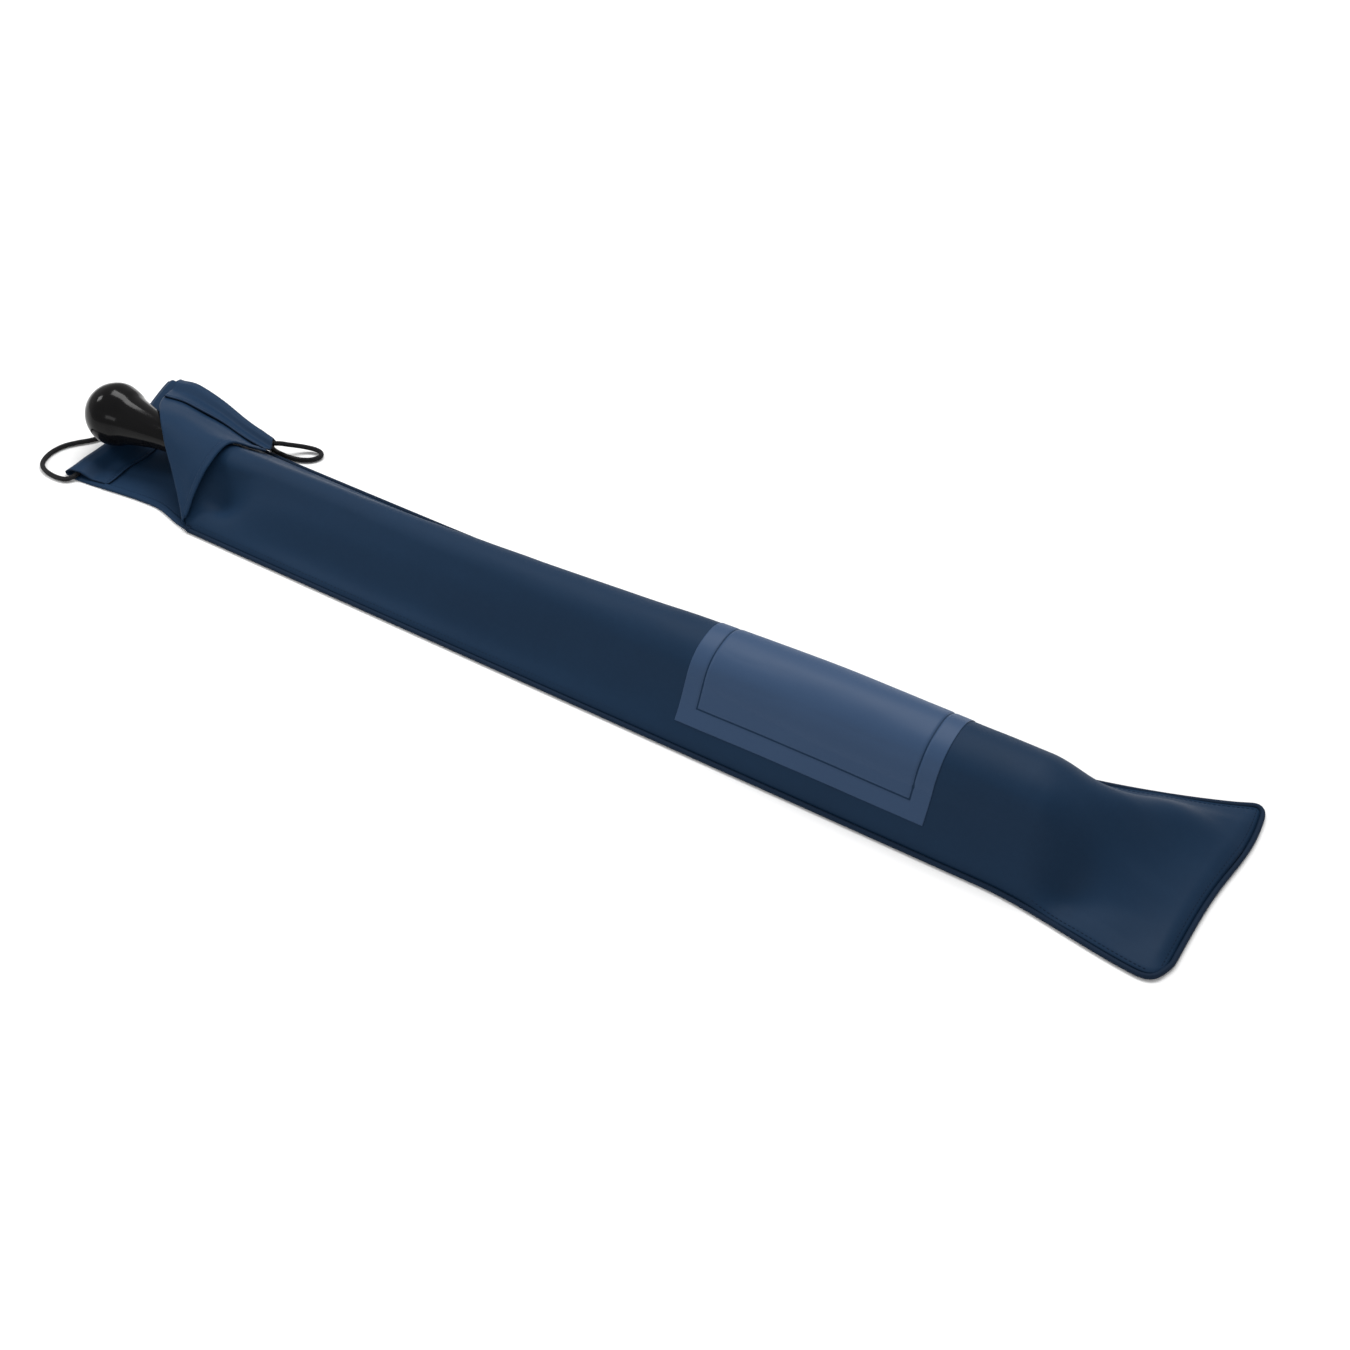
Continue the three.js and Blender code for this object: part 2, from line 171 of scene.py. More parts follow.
def tubePiece(name, points, radius, sides=14, spacing=0.0011):
    # a round strand along the points, closed at both ends, with its length in the uv map
    count = max(8, int(lineLength(points) / spacing))
    line = curveLine(points, count)
    vertices = []
    uvs = []
    faces = []
    side = None
    travelled = 0.0
    for k, here in enumerate(line):
        ahead = line[min(k + 1, count - 1)] - line[max(k - 1, 0)]
        ahead.normalize()
        if side is None:
            side = ahead.cross(up).normalized()
        side = (side - ahead * side.dot(ahead)).normalized()
        lift = side.cross(ahead)
        if k > 0:
            travelled += (here - line[k - 1]).length
        for s in range(sides):
            angle = 2 * math.pi * s / sides
            vertices.append(here + (side * math.cos(angle) + lift * math.sin(angle)) * radius)
            uvs.append((s / sides, travelled))
    for k in range(count - 1):
        for s in range(sides):
            a = k * sides + s
            b = k * sides + (s + 1) % sides
            faces.append((a, b, b + sides, a + sides))
    faces.append(tuple(reversed(range(sides))))
    faces.append(tuple(range((count - 1) * sides, count * sides)))
    return addMesh(name, vertices, faces, uvs)


# the cord: its free stretch outside the mouth, then the runs inside the two channels
cordSizes = {"diameter": 0.004, "inHem": 0.0039}
slackRoute = [
    (9, -51.4, 3.7), (8.4, -56, 3.4), (4, -60.5, 2.6), (-6, -62, 2.2), (-18, -60.5, 2.2),
    (-27, -55.5, 2.2), (-31.5, -47, 2.2), (-32.5, -37, 2.2), (-30, -27, 2.2), (-24, -18, 2.2),
    (-16.5, -9, 2.2), (-10.5, 2, 2.2), (-7, 16, 2.2), (-5.5, 32, 2.2), (-4, 48, 2.2),
    (-1.5, 62, 2.2), (5, 73, 2.2), (17, 79.5, 2.2), (33, 81, 2.2), (52, 79.5, 2.2),
    (72, 78, 2.2), (92, 76.5, 2.2), (104, 74, 2.2), (112, 70.5, 2.2),
]
loopRoute = [
    (118, 65.2, 2.2), (125, 61.8, 2.2), (134, 61, 2.2), (142, 61.2, 2.3), (150, 62.8, 2.3),
    (157.5, 66.5, 2.4), (162, 71.5, 2.5), (163, 76.5, 2.8), (159.5, 79.5, 3.2), (153, 79.3, 3.8),
    (145.5, 76, 5.2), (140.5, 71.5, 7.4), (136.5, 66.8, 9.8), (133, 62.8, 12), (128.5, 57.6, 13.8),
]
cordPoints = [place(x / 1000, y / 1000, z / 1000) for x, y, z in slackRoute + loopRoute]
drawcord = tubePiece("drawcord", cordPoints, cordSizes["diameter"] / 2)
print("cord laid, length", round(lineLength(curveLine(cordPoints, 400)), 4))


# the bat: outline as distance from the knob's end and radius
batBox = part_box("bat")
batAxisZ = (batBox[0][2] + batBox[1][2]) / 2
knobX = batBox[0][0] - mouthX
batLength = batBox[1][0] - batBox[0][0]
batSizes = {"sides": 112, "samples": 420, "travel": 0.04}
batOutline = [Vector((a / 1000, b / 1000, 0)) for a, b in (
    (0, 0), (0.2, 4.2), (1.5, 9.8), (5.5, 16.4), (12, 22.3), (19.5, 25.7), (26.5, 26.5),
    (35.5, 24.3), (43, 21), (52, 18.6), (64, 16), (76, 14), (90, 12.8), (110, 12), (180, 12),
    (260, 12.4), (340, 14.4), (420, 17.6), (500, 21.6), (580, 26), (650, 29.4), (720, 32),
    (780, 33), (842, 33), (855, 30.2), (862, 22), (864, 12), (864, 0),
)]
outlineLine = curveLine(batOutline, batSizes["samples"])
outlineX = np.maximum.accumulate([min(max(p.x, 0), batLength) for p in outlineLine])
outlineR = np.clip([p.y for p in outlineLine], 0, None)
batEnd = knobX + batLength


def bodyRadius(x):
    # the cloth clears the bat both where it rests and where it is drawn out
    last = batLength - 0.03
    atRest = min(max(x - knobX, 0.071), last)
    drawn = min(max(x - knobX + batSizes["travel"], 0.071), last)
    return float(max(np.interp(atRest, outlineX, outlineR), np.interp(drawn, outlineX, outlineR)))


# the sleeve's plan and the tent of cloth over the bat, as the frame has them
cloth = {
    "thickness": 0.0012, "play": 0.0006, "nearHalf": 0.054, "farHalf": 0.054,
    "mouthSpread": 0.022, "slit": 0.130, "barrelSpread": 0.010, "endNear": 0.015,
    "endFar": 0.054, "cornerLift": 0.015, "foot": 0.0024, "endSwell": 0.0075,
    "slitBow": 0.008, "ridge": 0.058, "nearCorner": 0.013, "farCorner": 0.0025,
}


def cornerCut(x, radius):
    past = x - (sleeveLength - radius)
    if past <= 0:
        return 0.0
    past = min(past, radius)
    return radius - math.sqrt(max(radius * radius - past * past, 0.0))


def nearSeamY(x):
    spread = cloth["endNear"] * ease(batEnd - 0.02, sleeveLength, x)
    return -cloth["nearHalf"] - spread + cornerCut(x, cloth["nearCorner"])


def nearEdgeY(x):
    # the lower flap's free edge bows in a little
    bow = cloth["slitBow"] * ease(0, 0.09, x) * (1 - ease(0.09, cloth["slit"], x))
    return nearSeamY(x) + bow


def farSeamY(x):
    mouth = cloth["mouthSpread"] * (1 - ease(0, cloth["slit"], x))
    barrel = cloth["barrelSpread"] * ease(0.3, 0.76, x)
    pastBat = min(1.0, max(0.0, (x - batEnd + 0.013) / (sleeveLength - batEnd + 0.013)))
    flare = (cloth["endFar"] - cloth["barrelSpread"]) * pastBat ** 1.3
    return cloth["farHalf"] + mouth + barrel + flare - cornerCut(x, cloth["farCorner"])


def farSeamLift(x):
    return cloth["cornerLift"] * (1 - ease(0, cloth["slit"], x))


def backHeight(x, y):
    far = farSeamY(x)
    return farSeamLift(x) * ease(0.35 * far, far, y)


def slopeHeight(distance, footDistance, radius, foot):
    rise = batAxisZ - foot
    reach = math.hypot(footDistance, rise)
    slope = math.atan2(rise, footDistance) + math.asin(radius / reach)
    touchDistance = radius * math.sin(slope)
    if distance <= touchDistance:
        return batAxisZ + math.sqrt(max(radius * radius - distance * distance, 0.0))
    return foot + (footDistance - distance) * math.tan(slope)


def tentHeight(x, y, extra=0.0):
    # past the bat's end the crest swings toward the far corner as it falls
    radius = bodyRadius(x) + cloth["play"] + extra
    crest = cloth["ridge"] * ease(batEnd, sleeveLength, x)
    if y >= crest:
        edge, lift = farSeamY(x), farSeamLift(x)
        toCrest = (y - crest) / (edge - crest)
    else:
        edge, lift = -nearSeamY(x), 0.0
        toCrest = (crest - y) / (edge + crest)
    foot = cloth["foot"] + lift + extra
    toCrest = min(toCrest, 1.0)
    taut = slopeHeight(toCrest * edge, edge, radius, foot)
    top = slopeHeight(0.0, edge, radius, foot)
    soft = foot + (top - foot) * (0.5 + 0.5 * math.cos(math.pi * toCrest))
    full = blendTo(taut, soft, ease(batEnd, batEnd + 0.045, x))
    even = min(1.0, max(0.0, (x - batEnd + 0.010) / (sleeveLength - 0.004 - batEnd + 0.010)))
    fall = blendTo(ease(0, 1, even), even, 0.15)
    return blendTo(full, foot, fall)


# how soft cloth departs from a taut tent
drape = {
    "sag": 0.0052, "groove": 0.0014, "grooveWidth": 0.0028, "wave": 0.0013,
    "endBulge": 0.0030, "seed": 4.7,
}


# swellings and hollows: where x and y, how wide along and across, how tall
swells = (
    (0.886, -0.040, 0.018, 0.013, -0.0055), (0.962, 0.058, 0.020, 0.020, 0.0016),
    (0.940, -0.050, 0.016, 0.010, -0.0018), (0.920, -0.012, 0.024, 0.016, 0.0028),
    (0.945, 0.030, 0.024, 0.030, 0.0024), (0.868, -0.018, 0.020, 0.014, 0.0018),
    (0.915, 0.058, 0.026, 0.020, 0.0062), (0.895, 0.030, 0.022, 0.022, 0.0040),
    (0.150, -0.026, 0.022, 0.013, -0.0150), (0.205, -0.032, 0.034, 0.011, 0.0020),
)


def softWave(x, y):
    # long shallow unevenness, stretched along the sleeve
    spot = Vector((x * 9 + drape["seed"], y * 34, drape["seed"]))
    fine = Vector((x * 26, y * 80 + drape["seed"], 1.3))
    return noise.noise(spot) + 0.35 * noise.noise(fine)


def bump(x, y, cx, cy, wx, wy):
    return math.exp(-((x - cx) / wx) ** 2 - ((y - cy) / wy) ** 2)


def frontHeight(x, y, extra):
    # the front panel's soft surface; extra is how far it stands off the taut inner face
    near, far = nearSeamY(x), farSeamY(x)
    edge = -near if y < 0 else far
    height = tentHeight(x, y, extra)
    top = tentHeight(x, 0.0, extra)
    fromFoot = max(edge - abs(y), 0.0)
    share = fromFoot / edge
    fall = ease(batEnd - 0.03, batEnd + 0.05, x)
    hollow = math.sin(math.pi * min(share / 0.60, 1.0) ** 0.85) ** 2
    height -= drape["sag"] * hollow * (1 - fall) * ease(0.14, 0.26, x)
    flank = min(1.0, fromFoot / 0.012)
    height += drape["wave"] * softWave(x, y) * flank * ease(cloth["slit"], 0.25, x)
    for cx, cy, wx, wy, size in swells:
        height += size * bump(x, y, cx, cy, wx, wy)
    # it never dips into the bat, at rest or drawn out
    alongBat = x - knobX
    batRoom = max(np.interp(alongBat, outlineX, outlineR),
                  np.interp(alongBat + batSizes["travel"], outlineX, outlineR)) + 0.0004 + extra
    if abs(y) < batRoom and alongBat < batLength:
        height = max(height, batAxisZ + math.sqrt(batRoom * batRoom - y * y))
    # the end stays a little full before it turns down into its seam
    toEnd = sleeveLength - x
    full = ease(0.0, 0.010, toEnd) * (1 - ease(0.02, 0.09, toEnd))
    height += drape["endBulge"] * full * min(1.0, fromFoot / 0.02)
    # the stitched groove along the seams
    height -= drape["groove"] * math.exp(-(fromFoot / drape["grooveWidth"]) ** 2)
    height -= drape["groove"] * math.exp(-(toEnd / drape["grooveWidth"]) ** 2)
    return max(height, 0.0013)


# the folded flap: its crease, its free slit edge and its mouth edge
creaseTop = batAxisZ + bodyRadius(0.064) + cloth["play"] + cloth["thickness"] + 0.0007
slitEnd = Vector((cloth["slit"], -cloth["nearHalf"] + 0.001, cloth["foot"] + 0.0024))
farCorner = Vector((0.015, farSeamY(0.015), cloth["foot"] + cloth["cornerLift"] + 0.0015))
foldedCorner = Vector((0.127, 0.062, 0.008))
crease = [
    slitEnd, Vector((0.118, -0.042, 0.015)), Vector((0.101, -0.028, 0.030)),
    Vector((0.082, -0.013, creaseTop - 0.006)), Vector((0.064, 0.003, creaseTop)),
    Vector((0.044, 0.024, creaseTop - 0.0065)), Vector((0.026, 0.050, creaseTop - 0.020)),
    farCorner,
]
slitEdge = [
    slitEnd, Vector((0.132, -0.039, 0.026)), Vector((0.135, -0.022, 0.043)),
    Vector((0.137, 0.002, creaseTop - 0.0002)), Vector((0.139, 0.026, 0.032)),
    Vector((0.136, 0.047, 0.014)), foldedCorner,
]
hemEdge = [
    farCorner, Vector((0.038, 0.072, 0.025)), Vector((0.066, 0.068, 0.0225)),
    Vector((0.096, 0.064, 0.0155)), foldedCorner,
]
creaseLength = lineLength(curveLine(crease, 120))
slitEdgeLength = lineLength(curveLine(slitEdge, 120))


def flapSurface(along, across, extra=0.0):
    point = curvePoint(crease, along).lerp(curvePoint(slitEdge, along), across)
    straight = farCorner.lerp(foldedCorner, across)
    point += (curvePoint(hemEdge, across) - straight) * along * along
    relief = 0.0026 * (1 - ease(-0.030, 0.006, point.y))
    lowest = tentHeight(point.x, point.y) + cloth["thickness"] + 0.00085 + relief
    if point.y < farSeamY(point.x) - 0.002:
        point.z = softMax(point.z, lowest, 0.003)
    point.z += extra
    return point


def shifted(point):
    # moves a sleeve point into the frame; the closed end stands out toward its far corner
    reach = cloth["endSwell"] * math.exp(-((point.y - 0.075) / 0.048) ** 2)
    x = point.x + reach * ease(sleeveLength - 0.12, sleeveLength, point.x)
    return Vector((x + mouthX, point.y, point.z))


print("shapes ready")
half = cloth["thickness"] / 2


# front panel
frontGrid = {"columns": 400, "rows": 76, "tuck": 0.001, "intoSeam": 0.0010}


def frontPoint(u, v):
    start = curvePoint(crease, v)
    near, far = nearSeamY(start.x), farSeamY(start.x)
    share = min(max((start.y - near) / (far - near), 0.0), 1.0)
    x = blendTo(start.x + frontGrid["tuck"], sleeveLength, u)
    y = blendTo(nearSeamY(x) - frontGrid["intoSeam"], farSeamY(x) + frontGrid["intoSeam"], share)
    inside = min(max(y, nearSeamY(x)), farSeamY(x))
    return shifted(Vector((x, y, frontHeight(x, inside, half))))


frontPanel = gridPiece("frontPanel", frontPoint, frontGrid["columns"], frontGrid["rows"],
                       (sleeveLength - 0.07, 0.155))
thicken(frontPanel, cloth["thickness"])

# back panel, its inner face showing at the lower flap
backGrid = {"columns": 220, "rows": 40, "edge": 0.006}


def backPoint(u, v):
    x = blendTo(backGrid["edge"], sleeveLength, u)
    y = blendTo(nearEdgeY(x) - 0.0010, farSeamY(x) + 0.0010, v)
    lower = min(max(y, nearEdgeY(x)), farSeamY(x))
    ripple = 0.0005 * (1 + noise.noise(Vector((x * 60, y * 45, 2.0)))) * (1 - ease(0.10, 0.15, x))
    return shifted(Vector((x, y, backHeight(x, lower) + half + ripple)))


backPanel = gridPiece("backPanel", backPoint, backGrid["columns"], backGrid["rows"],
                      (sleeveLength, 0.135))
thicken(backPanel, cloth["thickness"])
print("panels made")

# hems: the mouth edges turned in over the cord and sewn down
hem = {
    "depth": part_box("back_hem")[1][0] - mouthX, "seat": 0.0007, "room": 0.0056,
    "inset": 0.009, "under": 0.006, "wander": 0.0009, "lineInset": 0.0035,
    "knobPress": 0.0010,
}


def channelLift(fromEdge):
    rise = ease(-0.004, hem["inset"] - 0.003, fromEdge)
    fall = 1 - ease(hem["inset"] + 0.003, hem["inset"] + 0.016, fromEdge)
    return cloth["thickness"] + hem["seat"] + hem["room"] * rise * fall


def hemProfile(k, depth):
    # from the sewn line over the channel, round the mouth edge and back underneath
    edgeTop = channelLift(0) + half
    if k < 0.72:
        fromEdge = depth * (1 - k / 0.72)
        curl = 0.0007 * (1 - ease(0, 0.0028, depth - fromEdge))
        pinch = 0.0006 * math.exp(-((depth - fromEdge - 0.0042) / 0.0012) ** 2)
        return fromEdge, channelLift(fromEdge) + half + curl - pinch
    radius = (edgeTop - half) / 2
    if k < 0.9:
        angle = math.pi * (k - 0.72) / 0.18
        return -radius * math.sin(angle), half + radius + radius * math.cos(angle)
    return hem["under"] * (k - 0.9) / 0.1, half


def backHemPoint(u, v):
    wander = hem["wander"] * math.sin(v * 17 + 0.6)
    fromEdge, lift = hemProfile(u, hem["depth"] + wander)
    x = max(fromEdge, 0.0)
    near = nearEdgeY(x) + 0.0005 + hem["lineInset"] * ease(-0.005, hem["depth"], fromEdge)
    far = farSeamY(x) - 0.003
    y = blendTo(near, far, v)
    soft = 0.0006 * noise.noise(Vector((fromEdge * 70, y * 55, 6.0))) * min(1, lift / 0.002 - 0.4)
    pressed = hem["knobPress"] * math.exp(-(y / 0.026) ** 2) * min(1, lift / 0.004)
    return shifted(Vector((fromEdge, y, backHeight(x, y) + lift + soft - pressed)))


backHem = gridPiece("backHem", backHemPoint, 64, 60, (hem["depth"] * 1.4, 0.125))
# its rim takes the second, darker cloth: painted shade along the raw edge
thicken(backHem, cloth["thickness"], rimSlot=1)


# the flap: cloth rolled over at the crease, then lying back over the sleeve
def hemShare(across, fromEdge):
    return 1 - fromEdge / blendTo(creaseLength, slitEdgeLength, across)


flapGrid = {"across": 60, "along": 110, "roll": 16}


def flapSoft(along, across):
    soft = 0.0009 * noise.noise(Vector((along * 5 + 3, across * 3.2, 0.4)))
    return soft * ease(0.05, 0.3, along)


def flapPoint(u, v):
    # u below rollShare turns round the crease, the rest lies on the sleeve
    rollShare = flapGrid["roll"] / flapGrid["across"]
    along = blendTo(0.0, hemShare(max((u - rollShare) / (1 - rollShare), 0), 0.006), v)
    if u >= rollShare:
        across = (u - rollShare) / (1 - rollShare)
        across *= 1 - 0.003 / 0.05 * ease(0.1, 0.5, along)
        point = flapSurface(along, across, half)
        point.z += flapSoft(along, across)
        return shifted(point)
    top = flapSurface(along, 0.0, half)
    side = curvePoint(slitEdge, along) - curvePoint(crease, along)
    side.z = 0
    if side.length < 1e-6:
        side = Vector((0.7413, 0.6712, 0))
    side.normalize()
    floor = tentHeight(top.x, top.y, half)
    radius = max((top.z - floor) / 2, 0.0008)
    angle = math.pi * (1 - u / rollShare)
    point = top - up * radius
    point += up * radius * math.cos(angle) - side * radius * 0.8 * math.sin(angle)
    point.z += flapSoft(along, 0.0) * (1 - angle / math.pi)
    return shifted(point)


flapCloth = gridPiece("flapCloth", flapPoint, flapGrid["across"], flapGrid["along"], (0.09, 0.16))
thicken(flapCloth, cloth["thickness"])


def frontHemPoint(u, v):
    across = blendTo(0.0, 0.995, v)
    wander = hem["wander"] * math.sin(v * 13 + 2.0)
    deeper = 0.006 * (1 - ease(0.1, 0.7, v))  # wider toward the crease
    fromEdge, lift = hemProfile(u, hem["depth"] + deeper + wander)
    point = flapSurface(hemShare(across, max(fromEdge, 0.0)), across)
    if fromEdge < 0:
        outward = flapSurface(1.0, across) - flapSurface(0.97, across)
        point += outward.normalized() * -fromEdge
    point.z += lift + flapSoft(1.0, across)
    return shifted(point)


frontHem = gridPiece("frontHem", frontHemPoint, 64, 64, (hem["depth"] * 1.4, 0.125))
# its rim takes the second, darker cloth: painted shade along the raw edge
thicken(frontHem, cloth["thickness"], rimSlot=1)

# slit edges: each flap's free side, turned over once and sewn
turned = {"width": 0.0058, "lift": 0.0016}


def turnedProfile(k):
    if k < 0.6:
        return turned["width"] * (1 - k / 0.6), half + turned["lift"] * ease(0, 0.25, k)
    radius = turned["lift"] / 2
    angle = math.pi * min((k - 0.6) / 0.3, 1.0)
    inward = 0.002 * max((k - 0.9) / 0.1, 0.0)
    return inward - radius * math.sin(angle), half + radius + radius * math.cos(angle)


def frontSlitPoint(u, v):
    inward, lift = turnedProfile(u)
    along = blendTo(0.015, hemShare(1.0, hem["depth"] - 0.002), v)
    width = (curvePoint(slitEdge, along) - curvePoint(crease, along)).length
    across = 1 - max(inward, 0.0) / max(width, 0.008)
    point = flapSurface(along, across)
    if inward < 0:
        outward = flapSurface(along, 1.0) - flapSurface(along, 0.96)
        outward.z = 0
        if outward.length > 1e-7:
            point += outward.normalized() * -inward
    point.z += lift + flapSoft(along, across)
    return shifted(point)


frontSlitHem = gridPiece("frontSlitHem", frontSlitPoint, 20, 90, (0.014, 0.1))
thicken(frontSlitHem, cloth["thickness"] * 0.8)


def backSlitPoint(u, v):
    inward, lift = turnedProfile(u)
    x = blendTo(hem["depth"] - 0.002, cloth["slit"] + 0.006, v)
    y = nearEdgeY(x) + inward
    return shifted(Vector((x, y, lift + 0.0002)))


backSlitHem = gridPiece("backSlitHem", backSlitPoint, 20, 60, (0.014, 0.09))
thicken(backSlitHem, cloth["thickness"] * 0.8)
print("flap and hems made")


# sewn edge: one bead from the slit round the closed end to the mouth's far corner
sewnEdge = {"halfWidth": 0.0019, "halfHeight": 0.0017, "endHeight": 0.0021, "sides": 14}


def edgeLine():
    line = []
    out = 0.0019
    steps = 300
    for i in range(steps + 1):
        x = blendTo(cloth["slit"] + 0.002, sleeveLength, i / steps)
        line.append(Vector((x, nearSeamY(x) - out, 0)))
    first, last = nearSeamY(sleeveLength), farSeamY(sleeveLength)
    for i in range(1, 60):
        line.append(Vector((sleeveLength + out, blendTo(first, last, i / 60), 0)))
    for i in range(steps + 1):
        x = blendTo(sleeveLength, 0.004, i / steps)
        line.append(Vector((x, farSeamY(x) + out, 0)))
    return line


def edgePiece():
    points = edgeLine()
    # even spacing and rounded corners
    dense = []
    travelled = [0.0]
    for a, b in zip(points, points[1:]):
        travelled.append(travelled[-1] + (b - a).length)
    count = int(travelled[-1] / 0.0022)
    for k in range(count + 1):
        spot = travelled[-1] * k / count
        dense.append(Vector((np.interp(spot, travelled, [p.x for p in points]),
                             np.interp(spot, travelled, [p.y for p in points]), 0)))
    for _ in range(3):
        dense = [dense[0]] + [
            (dense[k - 1] + dense[k] * 2 + dense[k + 1]) / 4 for k in range(1, len(dense) - 1)
        ] + [dense[-1]]
    sides = sewnEdge["sides"]
    vertices, uvs, faces = [], [], []
    run = 0.0
    for k, here in enumerate(dense):
        ahead = (dense[min(k + 1, len(dense) - 1)] - dense[max(k - 1, 0)]).normalized()
        side = ahead.cross(up).normalized()
        atEnd = ease(sleeveLength - 0.02, sleeveLength, here.x)
        tall = blendTo(sewnEdge["halfHeight"], sewnEdge["endHeight"], atEnd)
        lift = farSeamLift(here.x) if here.y > 0 else 0.0
        middle = here + up * (lift + tall + 0.00015)
        if k > 0:
            run += (here - dense[k - 1]).length
        taper = min(1.0, 0.35 + run / 0.006)
        for s in range(sides):
            angle = 2 * math.pi * s / sides
            wide = sewnEdge["halfWidth"] * math.cos(angle) * taper
            high = tall * math.sin(angle) * taper
            vertices.append(shifted(middle + side * wide + up * high))
            uvs.append((s / sides * 0.012, run))
    for k in range(len(dense) - 1):
        for s in range(sides):
            a = k * sides + s
            b = k * sides + (s + 1) % sides
            faces.append((a, b, b + sides, a + sides))
    faces.append(tuple(reversed(range(sides))))
    faces.append(tuple(range((len(dense) - 1) * sides, len(dense) * sides)))
    return addMesh("sewnEdge", vertices, faces, uvs)


sewnBead = edgePiece()
print("sewn edge made")


# cord runs inside the two channels
def backRunPoint(share):
    y = blendTo(-cloth["nearHalf"] + 0.001, farSeamY(hem["inset"]) - 0.014, share)
    lift = cloth["thickness"] + hem["seat"] + cordSizes["diameter"] / 2
    return shifted(Vector((hem["inset"], y, backHeight(hem["inset"], y) + lift)))


def frontRunPoint(share):
    across = blendTo(0.1, 0.99, share)
    point = flapSurface(hemShare(across, hem["inset"]), across)
    point.z += cloth["thickness"] + hem["seat"] + cordSizes["diameter"] / 2
    return shifted(point)


backRoute = [backRunPoint(k / 12) for k in range(13)]
frontRoute = [frontRunPoint(k / 12) for k in range(13)]
backRun = tubePiece("cordInBackHem", backRoute, cordSizes["inHem"] / 2, 12, 0.002)
frontRun = tubePiece("cordInFrontHem", frontRoute, cordSizes["inHem"] / 2, 12, 0.002)


# printed panel over the crest, with a plain line pressed all round it inside its edge
printPanel = {
    "start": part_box("print_panel")[0][0] - mouthX, "end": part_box("print_panel")[1][0] - mouthX,
    "half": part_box("print_panel")[1][1], "thickness": 0.0003, "relief": 0.0007,
    "border": 0.014,
    "columns": 300, "rows": 180,
}


def crossArc(x):
    ys = np.linspace(-printPanel["half"], printPanel["half"], 90)
    zs = np.array([frontHeight(x, float(y), half) for y in ys])
    steps = np.hypot(np.diff(ys), np.diff(zs))
    return ys, np.concatenate([[0.0], np.cumsum(steps)])


arcColumns = [crossArc(blendTo(printPanel["start"], printPanel["end"], i / printPanel["columns"]))
              for i in range(printPanel["columns"] + 1)]
arcWidth = float(np.mean([arc[-1] for _, arc in arcColumns]))


def borderDistance(s, t):
    # how far a spot is inside the pressed line; s along, t across, in metres
    length = printPanel["end"] - printPanel["start"]
    return min(s, length - s, t, arcWidth - t) - printPanel["border"]


def printPoint(u, v):
    index = int(round(u * printPanel["columns"]))
    ys, arc = arcColumns[index]
    t = v * arc[-1]
    x = blendTo(printPanel["start"], printPanel["end"], u)
    y = float(np.interp(t, arc, ys))
    inside = borderDistance(x - printPanel["start"], v * arcWidth)
    groove = math.exp(-(inside / 0.0011) ** 2)
    lift = half + 0.0003 - printPanel["relief"] * groove
    lift += 0.00015 * ease(0, 0.001, inside)
    step = 0.0004
    slope = (frontHeight(x, y + step, half) - frontHeight(x, y - step, half)) / (2 * step)
    normal = Vector((0, -slope, 1)).normalized()
    return shifted(Vector((x, y, frontHeight(x, y, half))) + normal * lift)


printPiece = gridPiece("printPanel", printPoint, printPanel["columns"], printPanel["rows"],
                       (printPanel["end"] - printPanel["start"], arcWidth))
thicken(printPiece, printPanel["thickness"])
print("print made, width", round(arcWidth, 4))


# the bat, turned from its outline
def turnedPiece(name, line, sides):
    vertices, uvs, faces = [], [], []
    ring = [p for p in line if p.y > 1e-5]
    for k, p in enumerate(ring):
        for s in range(sides):
            angle = 2 * math.pi * s / sides
            y, z = p.y * math.cos(angle), p.y * math.sin(angle)
            vertices.append(place(p.x + knobX, y, batAxisZ + z))
            uvs.append((s / sides, p.x))
    for k in range(len(ring) - 1):
        for s in range(sides):
            a = k * sides + s
            b = k * sides + (s + 1) % sides
            faces.append((a, b, b + sides, a + sides))
    for row, outward in ((0, -1), (len(ring) - 1, 1)):
        tip = len(vertices)
        vertices.append(place(ring[row].x + knobX, 0, batAxisZ))
        uvs.append((0.5, ring[row].x))
        for s in range(sides):
            a, b = row * sides + s, row * sides + (s + 1) % sides
            faces.append((a, tip, b) if outward < 0 else (a, b, tip))
    return addMesh(name, vertices, faces, uvs)


batPiece = turnedPiece("turnedBat", outlineLine, batSizes["sides"])
print("bat turned")


# shader maths: a socket that can be used in expressions
class Value:
    def __init__(self, finish, socket):
        self.finish = finish
        self.socket = socket

    def joined(self, operation, other, swapped=False):
        first, second = (other, self) if swapped else (self, other)
        values = {0: first, 1: second}
        return self.finish.node("ShaderNodeMath", {"operation": operation}, values)[0]

    def __add__(self, other):
        return self.joined("ADD", other)

    def __radd__(self, other):
        return self.joined("ADD", other, True)

    def __sub__(self, other):
        return self.joined("SUBTRACT", other)

    def __mul__(self, other):
        return self.joined("MULTIPLY", other)

    def waved(self):
        return self.finish.node("ShaderNodeMath", {"operation": "SINE"}, {0: self})[0]


